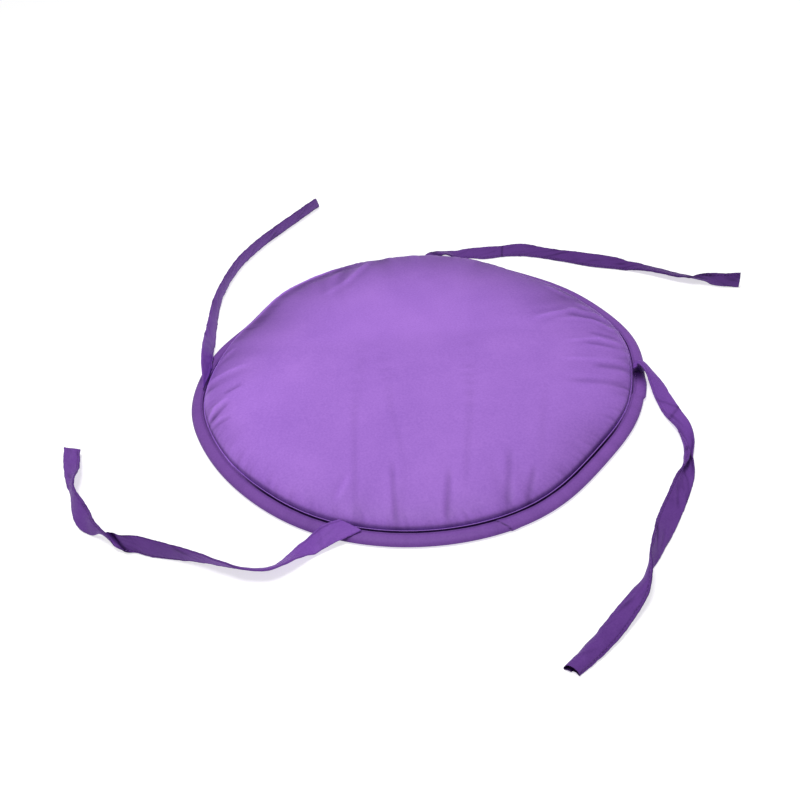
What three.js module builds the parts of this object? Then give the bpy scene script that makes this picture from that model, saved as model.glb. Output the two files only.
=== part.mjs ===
// A round seat cushion with four ties, lying on its back on a flat surface.
// Millimetres, +Z up. The origin is the middle of the flat underside, with +Y to the back.
// Plan angles are in degrees, anticlockwise from +X. An inset is measured from the outer
// edge of the binding towards the middle of the cushion.
import * as THREE from "three";

// Driving sizes of the cushion.
const RIM_RADIUS = 189.5;
const CREST_HEIGHT = 24.5;
const CREST_BEHIND_MIDDLE = 45;
const FRONT_FALL = 1.8;
const BACK_FALL = 2.5;
const SIDE_FALL = 2.5;

// A faint ridge across the panel, from which its front part slopes down. It fades to the left.
const RIDGE_AT = 35;
const RIDGE_SOFTNESS = 8;
const RIDGE_SLOPE = 0.019;
const RIDGE_FADE_FROM = -140;
const RIDGE_FADE_TO = -70;

// The sewn edge: its middle lies low at the front and is lifted at the back.
const SEAM_HEIGHT = 5.4;
const SEAM_LIFT = 1.5;
const EDGE_DROOP = 1.6;

// The binding, one strip folded over the sewn edge.
const BAND_WIDTH = 10;
const BAND_THICKNESS = 1.2;
const BAND_CROWN = 2.7;
const BAND_FOLD = 1.7;
const BAND_ROUNDING = 0.2;

// The layers sewn together inside the binding, and the stitched channel beside it.
const LAYERS_THICKNESS = 1.6;
const FIT_GAP = 0.5;
const GROOVE_WIDTH = 1;
const RIB_WIDTH = 2;
const RIB_HEIGHT = 2.5;
const STITCH_HEIGHT = 1.8;

// The underside is flat inside this inset.
const FOOT_INSET = 27;
const FOOT_WALL_INSET = 17;
const FOOT_WALL_SHARE = 0.35;

// The panel rises steeply from the stitching and is nearly level further in.
const PANEL_STEEPNESS = 9;
const PANEL_ROUNDNESS = 2.3;
const PANEL_SHARES = [0, 0.2, 0.4, 0.55, 0.67, 0.76, 0.83, 0.88, 0.915, 0.943, 0.965, 0.982, 0.993, 1];

// Along the back the filling bulges out over the stitching and hides the binding from above.
const BULGE = 5.5;
const BULGE_AT = 106;
const BULGE_HALF = 42;
const BULGE_END = 60;
const BULGE_START = 1.6;
const BULGE_REACH = 18;

const ROUND_STEPS = 180;

// The four ties, cut from one ribbon.
const TIE_WIDTH = 16;
const TIE_THICKNESS = 1.5;
const TIE_STEPS = 56;
const TIE_STRIPS = 4;
const ROUTE_STEP = 0.002;
const ROUTE_DIVISIONS = 400;
const LEAST_CURL = 0.01;
const FLOOR_GAP = 0.4;

const PANEL_COLOUR = 0xa672d4;
const BINDING_COLOUR = 0x8350ab;
const TIE_COLOUR = 0x6e4a96;

// Where the rim is drawn out or lies flatter: plan angle, how far, over how many degrees.
const RIM_PULLS = [
  { at: 8, out: 5.5, spread: 14 },
  { at: 55, out: -7, spread: 18 },
  { at: 147, out: -8.5, spread: 12 },
  { at: 185, out: 4, spread: 14 },
  { at: 222, out: -1.5, spread: 16 },
  { at: 318, out: -7, spread: 18 },
];

// The pleats that run in from the stitching: plan angle of the outer end, degrees to each side,
// depth, how far they run in, and the degrees they swing round on that way.
const PLEATS = [
  { at: 2, spread: 1.9, depth: 0.9, reach: 40, swing: 3 },
  { at: 7.5, spread: 2.2, depth: 1.1, reach: 44, swing: 3 },
  { at: 12, spread: 1.8, depth: 1.2, reach: 30, swing: 5 },
  { at: 17, spread: 2, depth: 1.5, reach: 46, swing: 9 },
  { at: 26, spread: 4.5, depth: 1.7, reach: 42, swing: 6 },
  { at: 62, spread: 5, depth: 0.9, reach: 34, swing: 2 },
  { at: 79, spread: 5, depth: 0.8, reach: 32, swing: 0 },
  { at: 91, spread: 2.4, depth: 0.8, reach: 30, swing: -1 },
  { at: 99, spread: 3.4, depth: 1.5, reach: 34, swing: -2 },
  { at: 109, spread: 2.8, depth: 1.4, reach: 44, swing: 9 },
  { at: 116, spread: 2.4, depth: 1.2, reach: 42, swing: 9 },
  { at: 125, spread: 5, depth: 1.3, reach: 30, swing: 4 },
  { at: 149, spread: 9, depth: 1.6, reach: 30, swing: 0 },
  { at: 170, spread: 3.2, depth: 1.6, reach: 34, swing: -4 },
  { at: 176, spread: 1.8, depth: 1, reach: 24, swing: -5 },
  { at: 183, spread: 2, depth: 1.2, reach: 36, swing: -6 },
  { at: 190, spread: 2.4, depth: 1.8, reach: 30, swing: -7 },
  { at: 195, spread: 1.8, depth: 1, reach: 26, swing: -3 },
  { at: 203, spread: 3, depth: 0.6, reach: 22, swing: 0 },
  { at: 252, spread: 1.9, depth: 0.8, reach: 26, swing: 0 },
  { at: 261, spread: 1.8, depth: 1, reach: 38, swing: 1 },
  { at: 274, spread: 1.8, depth: 0.9, reach: 36, swing: 1 },
  { at: 288, spread: 2, depth: 1, reach: 34, swing: 2 },
  { at: 294, spread: 2, depth: 0.8, reach: 30, swing: 3 },
  { at: 318, spread: 15, depth: 1, reach: 30, swing: 0 },
  { at: 347, spread: 2.4, depth: 0.9, reach: 40, swing: 2 },
  { at: 352.5, spread: 1.8, depth: 0.8, reach: 36, swing: 3 },
  { at: 357, spread: 1.8, depth: 0.7, reach: 40, swing: 3 },
];

// Each tie from its root to its free end: plan position of the ribbon's middle line, height of
// its lowest point over the floor, lean, 0 lying flat and 90 with its left edge on top, and
// curl, how far the ribbon is rolled lengthwise, its middle standing out of its upper face.
// A slant sets the left edge ahead of the right one by that much, as the tie is cut or sewn in,
// and a skew turns the crosswise line ahead in the cloth, by degrees, as in a slanting fold.
const TIE_LEFT = [
  { x: -181.3, y: 17, lift: 2, lean: 66, curl: 0, slant: -27 },
  { x: -182, y: 30, lift: 7.8, lean: 66, curl: 0, slant: -16 },
  { x: -182.3, y: 45, lift: 8.8, lean: 65, curl: 10, slant: -4 },
  { x: -183.3, y: 60, lift: 5, lean: 65, curl: 20 },
  { x: -184, y: 78, lift: 1, lean: 67, curl: 20 },
  { x: -184, y: 100, lift: 0, lean: 73, curl: 25 },
  { x: -183, y: 130, lift: 0, lean: 81, curl: 30 },
  { x: -179, y: 158.5, lift: 0, lean: 93, curl: 30 },
  { x: -168.3, y: 198, lift: 0, lean: 105, curl: 30 },
  { x: -150.4, y: 232.8, lift: 0, lean: 113, curl: 30 },
  { x: -128.3, y: 263.6, lift: 0, lean: 116, curl: 30 },
  { x: -105.8, y: 292.5, lift: 0, lean: 119, curl: 35 },
  { x: -88.5, y: 314.4, lift: 0, lean: 121, curl: 40, slant: -9 },
];
const TIE_BACK = [
  { x: 26.5, y: 180.5, lift: 9.4, lean: 0, curl: 0 },
  { x: 31, y: 186, lift: 7.9, lean: -10, curl: 10 },
  { x: 38, y: 191, lift: 4.4, lean: -16, curl: 20 },
  { x: 50, y: 195, lift: 0.5, lean: -4, curl: 0 },
  { x: 66, y: 195.5, lift: 0, lean: 6, curl: 0 },
  { x: 80, y: 191.5, lift: 0, lean: 16, curl: 0 },
  { x: 98, y: 193, lift: 0, lean: 11, curl: 0 },
  { x: 118, y: 190.5, lift: 0, lean: 19, curl: 0 },
  { x: 139, y: 183.7, lift: 0, lean: 8, curl: 0 },
  { x: 160, y: 173, lift: 0, lean: 13, curl: 0 },
  { x: 186, y: 159.5, lift: 0, lean: 20, curl: 0 },
  { x: 203, y: 154, lift: 0, lean: 12, curl: 0 },
  { x: 219, y: 147.5, lift: 0, lean: -5, curl: 0 },
  { x: 236, y: 136.5, lift: 0, lean: -18, curl: 0 },
  { x: 256, y: 122.7, lift: 0, lean: -22, curl: 0 },
  { x: 270, y: 114, lift: 0, lean: -36, curl: -20 },
  { x: 281, y: 105.5, lift: 0, lean: -72, curl: -50 },
  { x: 292, y: 101, lift: 0, lean: -82, curl: -40 },
  { x: 307, y: 98.5, lift: 0, lean: -92, curl: -50 },
];
const TIE_RIGHT = [
  { x: 181.8, y: -14.5, lift: 7.5, lean: -2, curl: 30 },
  { x: 187.5, y: -17, lift: 7.5, lean: -20, curl: 40 },
  { x: 192.5, y: -25, lift: 4.5, lean: -26, curl: 30 },
  { x: 195.8, y: -36, lift: 2, lean: -22, curl: 20 },
  { x: 198, y: -50, lift: 0.5, lean: -14, curl: 0 },
  { x: 201, y: -68, lift: 0, lean: -4, curl: -20 },
  { x: 203.5, y: -86, lift: 0, lean: -12, curl: -90 },
  { x: 203.2, y: -104, lift: 0, lean: -24, curl: -190 },
  { x: 200, y: -120, lift: 0, lean: -30, curl: -280 },
  { x: 195, y: -133, lift: 0, lean: -30, curl: -210 },
  { x: 187.5, y: -147, lift: 0, lean: -24, curl: -70 },
  { x: 177, y: -164, lift: 0, lean: -18, curl: -40 },
  { x: 165.5, y: -184, lift: 0, lean: -24, curl: 0 },
  { x: 155, y: -203, lift: 0, lean: -50, curl: 0 },
  { x: 144, y: -221, lift: 0, lean: -74, curl: -30 },
  { x: 139, y: -235, lift: 0, lean: -108, curl: -40 },
  { x: 130.5, y: -249, lift: 0, lean: -146, curl: -20 },
  { x: 117, y: -264, lift: 0, lean: -164, curl: -30 },
  { x: 103, y: -277, lift: 0, lean: -172, curl: -90 },
  { x: 88.5, y: -289.5, lift: 0, lean: -176, curl: -140 },
  { x: 75, y: -300.5, lift: 0, lean: -180, curl: -190, slant: 3 },
];
const TIE_FRONT = [
  { x: -60, y: -168.5, lift: 7, lean: -6, curl: 0, slant: -10 },
  { x: -74, y: -174.5, lift: 4.2, lean: -26, curl: 10, slant: -5 },
  { x: -84, y: -178.5, lift: 2.7, lean: -12, curl: 20 },
  { x: -93.5, y: -183.5, lift: 1, lean: 8, curl: 20 },
  { x: -101.5, y: -190.5, lift: 0, lean: 30, curl: 10 },
  { x: -109.5, y: -197, lift: 0, lean: 41, curl: 10 },
  { x: -119, y: -201.2, lift: 0, lean: 46, curl: 30 },
  { x: -133, y: -200.4, lift: 0, lean: 51, curl: 20 },
  { x: -150, y: -195, lift: 0, lean: 62, curl: -10 },
  { x: -174, y: -185.8, lift: 0, lean: 79, curl: -30 },
  { x: -201, y: -176.2, lift: 0, lean: 101, curl: -20 },
  { x: -214, y: -170.5, lift: 0.4, lean: 110, curl: -10, skew: 9 },
  { x: -225, y: -167, lift: 1.6, lean: 122, curl: 20, skew: 30 },
  { x: -231.5, y: -164, lift: 4.2, lean: 148, curl: 80, skew: 54 },
  { x: -237, y: -161, lift: 6, lean: 184, curl: 120, skew: 64 },
  { x: -241.5, y: -158.5, lift: 3.8, lean: 225, curl: 110, skew: 56 },
  { x: -246.5, y: -156, lift: 1.4, lean: 268, curl: 60, skew: 42 },
  { x: -252.5, y: -149, lift: 0.4, lean: 293, curl: 20, skew: 24 },
  { x: -259.5, y: -139, lift: 0, lean: 316, curl: 0, skew: 7 },
  { x: -266, y: -128, lift: 0, lean: 315, curl: 0 },
  { x: -273.5, y: -112, lift: 0, lean: 290, curl: 0 },
  { x: -276.5, y: -100, lift: 0, lean: 296, curl: 0 },
  { x: -279.5, y: -87, lift: 0, lean: 324, curl: 0 },
  { x: -284.5, y: -66, lift: 0.3, lean: 338, curl: 0, slant: 8 },
  { x: -286.5, y: -53.5, lift: 0.4, lean: 344, curl: 0, slant: 13 },
];

const radians = THREE.MathUtils.degToRad;

// A smooth hump of height 1 at 0 that has fallen to about a third at the spread.
function hump(offset, spread) {
  return Math.exp(-((offset / spread) ** 2));
}

// The shortest turn between two plan angles.
function turnBetween(from, to) {
  return THREE.MathUtils.euclideanModulo(to - from + 180, 360) - 180;
}

function rimRadius(angle) {
  const pulls = RIM_PULLS.map(({ at, out, spread }) => out * hump(turnBetween(at, angle), spread));
  return RIM_RADIUS + pulls.reduce((sum, pull) => sum + pull, 0);
}

// Height of the middle of the sewn edge. It droops from the seam to the outer fold.
function edgeHeight(angle, inset) {
  const seam = SEAM_HEIGHT + SEAM_LIFT * Math.sin(radians(angle));
  return seam - EDGE_DROOP * Math.max(0, 1 - inset / BAND_WIDTH);
}

// Height of the filled pad if it had no drawn-in edge.
function crownHeight(angle, reach) {
  const x = reach * Math.cos(radians(angle));
  const y = reach * Math.sin(radians(angle));
  const behind = (y - CREST_BEHIND_MIDDLE) / RIM_RADIUS;
  const fall = behind < 0 ? FRONT_FALL : BACK_FALL;
  const before = (RIDGE_AT - y + Math.hypot(RIDGE_AT - y, RIDGE_SOFTNESS)) / 2;
  const slope = RIDGE_SLOPE * THREE.MathUtils.smoothstep(x, RIDGE_FADE_FROM, RIDGE_FADE_TO);
  return CREST_HEIGHT - fall * behind ** 2 - SIDE_FALL * (x / RIM_RADIUS) ** 2 - slope * before;
}

// How far the filling bulges out over the stitching, at a distance in from it.
function bulgeOut(angle, inset) {
  const away = Math.abs(turnBetween(BULGE_AT, angle));
  const share = 1 - THREE.MathUtils.smoothstep(away, BULGE_HALF, BULGE_END);
  return BULGE * share * (1 - hump(inset, BULGE_START)) * hump(inset, BULGE_REACH);
}

// How deep the pleats cut into the panel at this place.
function pleatDepth(angle, inset) {
  const depths = PLEATS.map(({ at, spread, depth, reach, swing }) => {
    const course = at + (swing * inset) / reach;
    return depth * hump(turnBetween(course, angle), spread) * hump(inset, reach);
  });
  return depths.reduce((sum, depth) => sum + depth, 0);
}

// The pad's section at one plan angle: crown, stitching, rib, groove, sewn layers, underside.
function padSection(angle) {
  const rim = rimRadius(angle);
  const stitchInset = BAND_WIDTH + GROOVE_WIDTH + RIB_WIDTH;
  const stitchReach = rim - stitchInset;
  const stitchHeight = edgeHeight(angle, stitchInset) + STITCH_HEIGHT;
  const panel = PANEL_SHARES.map((share) => {
    const reach = stitchReach * share;
    const rise = (1 - share ** PANEL_STEEPNESS) ** (1 / PANEL_ROUNDNESS);
    const fullness = crownHeight(angle, reach) - stitchHeight - pleatDepth(angle, stitchReach - reach);
    return [reach + bulgeOut(angle, stitchReach - reach), stitchHeight + fullness * rise];
  });
  const layer = (inset, rise) => [rim - inset, edgeHeight(angle, inset) + rise];
  const grooveInset = BAND_WIDTH + GROOVE_WIDTH;
  const layersInset = BAND_THICKNESS + BAND_FOLD + FIT_GAP;
  const wallHeight = FOOT_WALL_SHARE * (edgeHeight(angle, grooveInset) - LAYERS_THICKNESS / 2);
  return [
    ...panel,
    layer(BAND_WIDTH + GROOVE_WIDTH + RIB_WIDTH / 2, RIB_HEIGHT),
    layer(grooveInset, LAYERS_THICKNESS / 2),
    layer(layersInset, LAYERS_THICKNESS / 2),
    layer(layersInset, -LAYERS_THICKNESS / 2),
    layer(grooveInset, -LAYERS_THICKNESS / 2),
    [rim - FOOT_WALL_INSET, wallHeight],
    [rim - FOOT_INSET, 0],
    [0, 0],
  ];
}

// The binding's section at one plan angle: a folded strip, open towards the middle.
function bindingSection(angle) {
  const rim = rimRadius(angle);
  const inside = LAYERS_THICKNESS / 2 + FIT_GAP;
  const outside = inside + BAND_THICKNESS;
  const place = (inset, rise) => [rim - inset, edgeHeight(angle, inset) + rise];
  return [
    place(BAND_WIDTH, inside),
    place(BAND_WIDTH, outside),
    place(BAND_WIDTH / 2, BAND_CROWN),
    place(BAND_FOLD, outside - BAND_ROUNDING),
    place(0, 0),
    place(BAND_FOLD, BAND_ROUNDING - outside),
    place(BAND_WIDTH / 2, -outside),
    place(BAND_WIDTH, -outside),
    place(BAND_WIDTH, -inside),
    place(BAND_THICKNESS + BAND_FOLD, -inside),
    place(BAND_THICKNESS + BAND_FOLD, inside),
  ];
}

// A body turned round the vertical axis whose section changes with the plan angle. The
// section's points are reach and height, in the same number at every angle.
function turnedBody(sectionAt, closed) {
  const close = (section) => (closed ? [...section, section[0]] : section).reverse();
  const blank = close(sectionAt(0)).map(([reach, height]) => new THREE.Vector2(reach, height));
  const geometry = new THREE.LatheGeometry(blank, ROUND_STEPS);
  const position = geometry.attributes.position;
  for (let step = 0; step <= ROUND_STEPS; step += 1) {
    const angle = ((step % ROUND_STEPS) * 360) / ROUND_STEPS;
    close(sectionAt(angle)).forEach(([reach, height], index) => {
      const x = reach * Math.cos(radians(angle));
      const y = reach * Math.sin(radians(angle));
      position.setXYZ(step * blank.length + index, x, y, height);
    });
  }
  return geometry;
}

// A point of the ribbon's section, sideways and upwards from the middle of its width.
function ribbonSection(across, through, lean, curl) {
  const radius = TIE_WIDTH / (Math.abs(curl) < LEAST_CURL ? LEAST_CURL : curl);
  const bend = across / radius;
  const sideways = (radius + through) * Math.sin(bend);
  const upwards = (radius + through) * Math.cos(bend) - radius;
  return {
    sideways: sideways * Math.cos(lean) - upwards * Math.sin(lean),
    upwards: sideways * Math.sin(lean) + upwards * Math.cos(lean),
  };
}

// How far the section reaches below the middle of its width.
function sectionDepth({ lean, curl, skew }) {
  const strips = Array.from({ length: TIE_STRIPS + 1 }, (_, strip) => strip / TIE_STRIPS - 0.5);
  const heights = strips.flatMap((strip) =>
    [-0.5, 0.5].map((face) => ribbonSection(strip * TIE_WIDTH, face * TIE_THICKNESS, lean, curl).upwards),
  );
  return -Math.min(...heights) * Math.cos(skew);
}

// A smooth line through one column or more of a tie's rows.
function smoothLine(rows, columns) {
  const points = rows.map((row) => new THREE.Vector3(...columns.map((column) => row[column] ?? 0)));
  return new THREE.CatmullRomCurve3(points, false, "catmullrom", 0.5);
}

// A ribbon laid along the rows of a tie.
function ribbonBody(rows) {
  const route = smoothLine(rows, ["x", "y"]);
  const poses = smoothLine(rows, ["lift", "lean", "curl"]);
  const cuts = smoothLine(rows, ["slant", "skew"]);
  route.arcLengthDivisions = ROUTE_DIVISIONS;
  const poseAt = (share) => {
    const { x: lift, y: lean, z: curl } = poses.getPoint(share);
    const { x: slant, y: skew } = cuts.getPoint(share);
    return { lift: Math.max(0, lift), lean: radians(lean), curl: radians(curl), slant, skew: radians(skew) };
  };
  const middleAt = (share) => {
    const pose = poseAt(share);
    return route.getPoint(share).setZ(FLOOR_GAP + pose.lift + sectionDepth(pose));
  };
  const length = route.getLength();
  const geometry = new THREE.BoxGeometry(length, TIE_WIDTH, TIE_THICKNESS, TIE_STEPS, TIE_STRIPS, 1);
  const position = geometry.attributes.position;
  for (let index = 0; index < position.count; index += 1) {
    const across = position.getY(index);
    const travelled = THREE.MathUtils.clamp(position.getX(index) / length + 0.5, 0, 1);
    const share = route.getUtoTmapping(travelled);
    const before = middleAt(Math.max(0, share - ROUTE_STEP));
    const ahead = middleAt(Math.min(1, share + ROUTE_STEP)).sub(before).normalize();
    const left = new THREE.Vector3(-ahead.y, ahead.x, 0).normalize();
    const up = new THREE.Vector3().crossVectors(ahead, left);
    const { lean, curl, slant, skew } = poseAt(share);
    const { sideways, upwards } = ribbonSection(across, position.getZ(index), lean, curl);
    const place = left.multiplyScalar(sideways).addScaledVector(up, upwards).multiplyScalar(Math.cos(skew));
    place.addScaledVector(ahead, across * (slant / TIE_WIDTH + Math.sin(skew))).add(middleAt(share));
    position.setXYZ(index, place.x, place.y, place.z);
  }
  return geometry;
}

function cloth(name, geometry, colour) {
  const material = new THREE.MeshStandardMaterial({ color: colour, roughness: 0.6, metalness: 0 });
  const mesh = new THREE.Mesh(geometry, material);
  mesh.name = name;
  return mesh;
}

const cushion = new THREE.Group();
cushion.add(
  cloth("pad", turnedBody(padSection, false), PANEL_COLOUR),
  cloth("binding", turnedBody(bindingSection, true), BINDING_COLOUR),
  cloth("tie_left", ribbonBody(TIE_LEFT), TIE_COLOUR),
  cloth("tie_back", ribbonBody(TIE_BACK), TIE_COLOUR),
  cloth("tie_right", ribbonBody(TIE_RIGHT), TIE_COLOUR),
  cloth("tie_front", ribbonBody(TIE_FRONT), TIE_COLOUR),
);

export default cushion;
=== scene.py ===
"""Round seat cushion with four ribbon ties, lying flat on a pale floor.

Sizes are in millimetres until a mesh is placed, and plan angles are in degrees, anticlockwise
from +X. An inset is measured from the outer edge of the binding towards the middle, and in the
methods that shape the top panel from the line of stitching.
"""
import logging
import math
from collections.abc import Callable
from dataclasses import dataclass, field
from enum import Enum
from typing import NamedTuple

import bmesh
import bpy
from mathutils import Matrix, Vector, noise

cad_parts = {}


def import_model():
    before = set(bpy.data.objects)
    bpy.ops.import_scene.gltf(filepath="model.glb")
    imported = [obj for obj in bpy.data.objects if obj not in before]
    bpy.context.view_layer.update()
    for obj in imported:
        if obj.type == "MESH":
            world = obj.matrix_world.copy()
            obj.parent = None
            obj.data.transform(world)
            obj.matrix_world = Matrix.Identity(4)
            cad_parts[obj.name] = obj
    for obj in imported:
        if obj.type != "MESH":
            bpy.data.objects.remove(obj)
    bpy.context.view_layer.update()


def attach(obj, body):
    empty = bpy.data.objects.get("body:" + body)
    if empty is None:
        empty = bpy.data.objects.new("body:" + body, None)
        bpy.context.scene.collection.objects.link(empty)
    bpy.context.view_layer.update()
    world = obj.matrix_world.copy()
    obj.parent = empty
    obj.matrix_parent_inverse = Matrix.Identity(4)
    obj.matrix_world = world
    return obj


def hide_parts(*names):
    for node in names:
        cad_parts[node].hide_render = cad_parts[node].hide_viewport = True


LOG = logging.getLogger("cushion")
MM = 0.001
FULL_TURN = 360.0
WELD_DISTANCE = 1e-6
# Name of the vertex attribute that carries painted shade, from 0 to 1.
SHADE = "shade"

Pair = tuple[float, float]
Tone = tuple[float, float, float]
Piece = bpy.types.Object
Material = bpy.types.Material
Socket = bpy.types.NodeSocket
# The middle, the direction and the upper side of a stitch.
StitchPlace = tuple[Vector, Vector, Vector]


def hump(offset: float, spread: float) -> float:
    """Gives a smooth hump of height 1 at 0, about a third at the spread."""
    return math.exp(-((offset / spread) ** 2))


def turn_between(start: float, end: float) -> float:
    """Gives the shortest turn between two plan angles."""
    return (end - start + FULL_TURN / 2.0) % FULL_TURN - FULL_TURN / 2.0


def eased(share: float) -> float:
    """Gives a soft step from 0 to 1."""
    held = min(1.0, max(0.0, share))
    return held * held * (3.0 - 2.0 * held)


def mixed(start: float, end: float, share: float) -> float:
    """Gives the value at a share of the way from start to end."""
    return start + (end - start) * share


def rows_of(kind: type, *rows: tuple[float, ...]) -> tuple:
    """Makes a table with named columns from its rows."""
    return tuple(kind(*row) for row in rows)


class Bump(NamedTuple):
    """A smooth bump at a plan angle or a distance, or a hollow where its height is under 0."""

    at: float
    height: float
    spread: float

    def round(self, angle: float) -> float:
        """Gives its height at a plan angle."""
        return self.height * hump(turn_between(self.at, angle), self.spread)

    def over(self, distance: float) -> float:
        """Gives its height at a distance."""
        return self.height * hump(distance - self.at, self.spread)


class Stretch(NamedTuple):
    """A stretch of the rim: its middle, half its length, and how far it fades out."""

    middle: float
    half: float
    fade: float

    def strength(self, angle: float) -> float:
        """Gives 1 along the stretch, falling to 0 where it has faded out."""
        return 1.0 - eased((abs(turn_between(self.middle, angle)) - self.half) / self.fade)


class Ripples(NamedTuple):
    """Smooth noise on a surface: its height, how fast it changes both ways, and its seed."""

    height: float
    along: float
    across: float
    seed: float

    def at(self, along: float, across: float = 0.0, seed: float = 0.0) -> float:
        """Gives the noise at a place."""
        place = Vector((along * self.along, across * self.across, self.seed + seed))
        return self.height * noise.noise(place)


def linked(name: str, data: bpy.types.ID) -> Piece:
    """Makes an object from a mesh, a camera or a light and links it to the scene."""
    made = bpy.data.objects.new(name, data)
    bpy.context.scene.collection.objects.link(made)
    return made


def dress(piece: Piece, finish: Material, node: str) -> None:
    """Gives a piece its cloth, hangs it from the root and hides the solid that it stands for."""
    piece.data.materials.append(finish)
    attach(piece, "root")
    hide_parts(node)


def set_inputs(node: bpy.types.Node, values: dict) -> None:
    """Sets inputs of a shader node by name or number."""
    for name, value in values.items():
        node.inputs[name].default_value = value


def woven_grid(
    name: str,
    steps: tuple[int, int],
    place: Callable[[int, int], Vector],
    lie: Callable[[int, int], Pair],
    shade: Callable[[int, int], float],
) -> Piece:
    """Makes a piece from a grid that is moved into place and welded where it meets itself.

    Args:
        name: Name of the new object.
        steps: Number of faces along the grid and across it.
        place: Gives a point's place in metres.
        lie: Gives its place on the flat cloth, in metres, for the weave.
        shade: Gives its painted shade, from 0 to 1, in folds, grooves and other places out of the
            light.

    Returns:
        The new object, linked to the scene.
    """
    mesh = bpy.data.meshes.new(name)
    bm = bmesh.new()
    cloth = bm.loops.layers.uv.new("Cloth")
    # The layer that carries each point's painted shade.
    folded = bm.verts.layers.float.new(SHADE)
    bmesh.ops.create_grid(bm, x_segments=steps[0], y_segments=steps[1], size=1.0)
    where = {
        vert.index: [round((part + 1.0) / 2.0 * count) for part, count in zip(vert.co, steps)]
        for vert in bm.verts
    }
    for face in bm.faces:
        face.smooth = True
        for loop in face.loops:
            loop[cloth].uv = lie(*where[loop.vert.index])
    for vert in bm.verts:
        vert.co = place(*where[vert.index])
        vert[folded] = min(1.0, max(0.0, shade(*where[vert.index])))
    bmesh.ops.remove_doubles(bm, verts=bm.verts[:], dist=WELD_DISTANCE)
    bmesh.ops.recalc_face_normals(bm, faces=bm.faces[:])
    bm.to_mesh(mesh)
    bm.free()
    return linked(name, mesh)


class Coordinates(Enum):
    """Where a cloth finish takes the run of its threads from."""

    PLAN = "Object"
    STRIP = "UV"


class ClothNodes:
    """The shader nodes of one cloth."""

    # The length of a wave pattern's wave at scale 1.
    wave_length = math.tau / 20.0

    def __init__(self, material: Material, coordinates: Coordinates) -> None:
        """Finds the surface node and what the threads follow."""
        self.nodes, self.links = material.node_tree.nodes, material.node_tree.links
        self.surface = self.nodes["Principled BSDF"]
        self.source = self.nodes.new("ShaderNodeTexCoord").outputs[coordinates.value]

    def feed(self, node: bpy.types.Node, values: dict) -> None:
        """Sets a node's inputs to values, or links them to the outputs of other nodes."""
        for name in [name for name, value in values.items() if isinstance(value, Socket)]:
            self.links.new(values.pop(name), node.inputs[name])
        set_inputs(node, values)

    def made(self, kind: str, values: dict) -> bpy.types.Node:
        """Adds a node with its inputs set or linked."""
        node = self.nodes.new(f"ShaderNode{kind}")
        self.feed(node, values)
        return node

    def noise_at(self, scale: float, detail: float, stretch: Tone = (1.0, 1.0, 1.0)) -> Socket:
        """Adds a noise pattern and gives its output."""
        mapping = self.made("Mapping", {"Vector": self.source, "Scale": stretch})
        pattern = self.made("TexNoise", {"Vector": mapping.outputs["Vector"], "Scale": scale})
        set_inputs(pattern, {"Detail": detail})
        return pattern.outputs["Fac"]

    def threads(self, direction: str, pitch: float) -> Socket:
        """Adds one set of parallel threads and gives its output."""
        wave = self.made("TexWave", {"Vector": self.source, "Scale": self.wave_length / pitch})
        set_inputs(wave, {"Distortion": 1.2, "Detail": 1.0, "Detail Scale": 0.4})
        wave.bands_direction = direction
        return wave.outputs["Fac"]

    def combined(self, operation: str, first: Socket, second: Socket | float) -> Socket:
        """Adds a sum or product of two values and gives its output."""
        node = self.made("Math", {0: first, 1: second})
        node.operation = operation
        return node.outputs[0]

    def blend(self, first: Socket, share: float, second: Socket, second_share: float) -> Socket:
        """Adds a sum of two patterns at their shares and gives its output."""
        part = self.combined("MULTIPLY", first, share)
        return self.combined("ADD", part, self.combined("MULTIPLY", second, second_share))


# Colour that painted shade darkens the cloth towards, in folds, grooves and other places out of the
# light, linear.
PAINTED_SHADE_TONE = (0.022, 0.003, 0.06)


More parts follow.
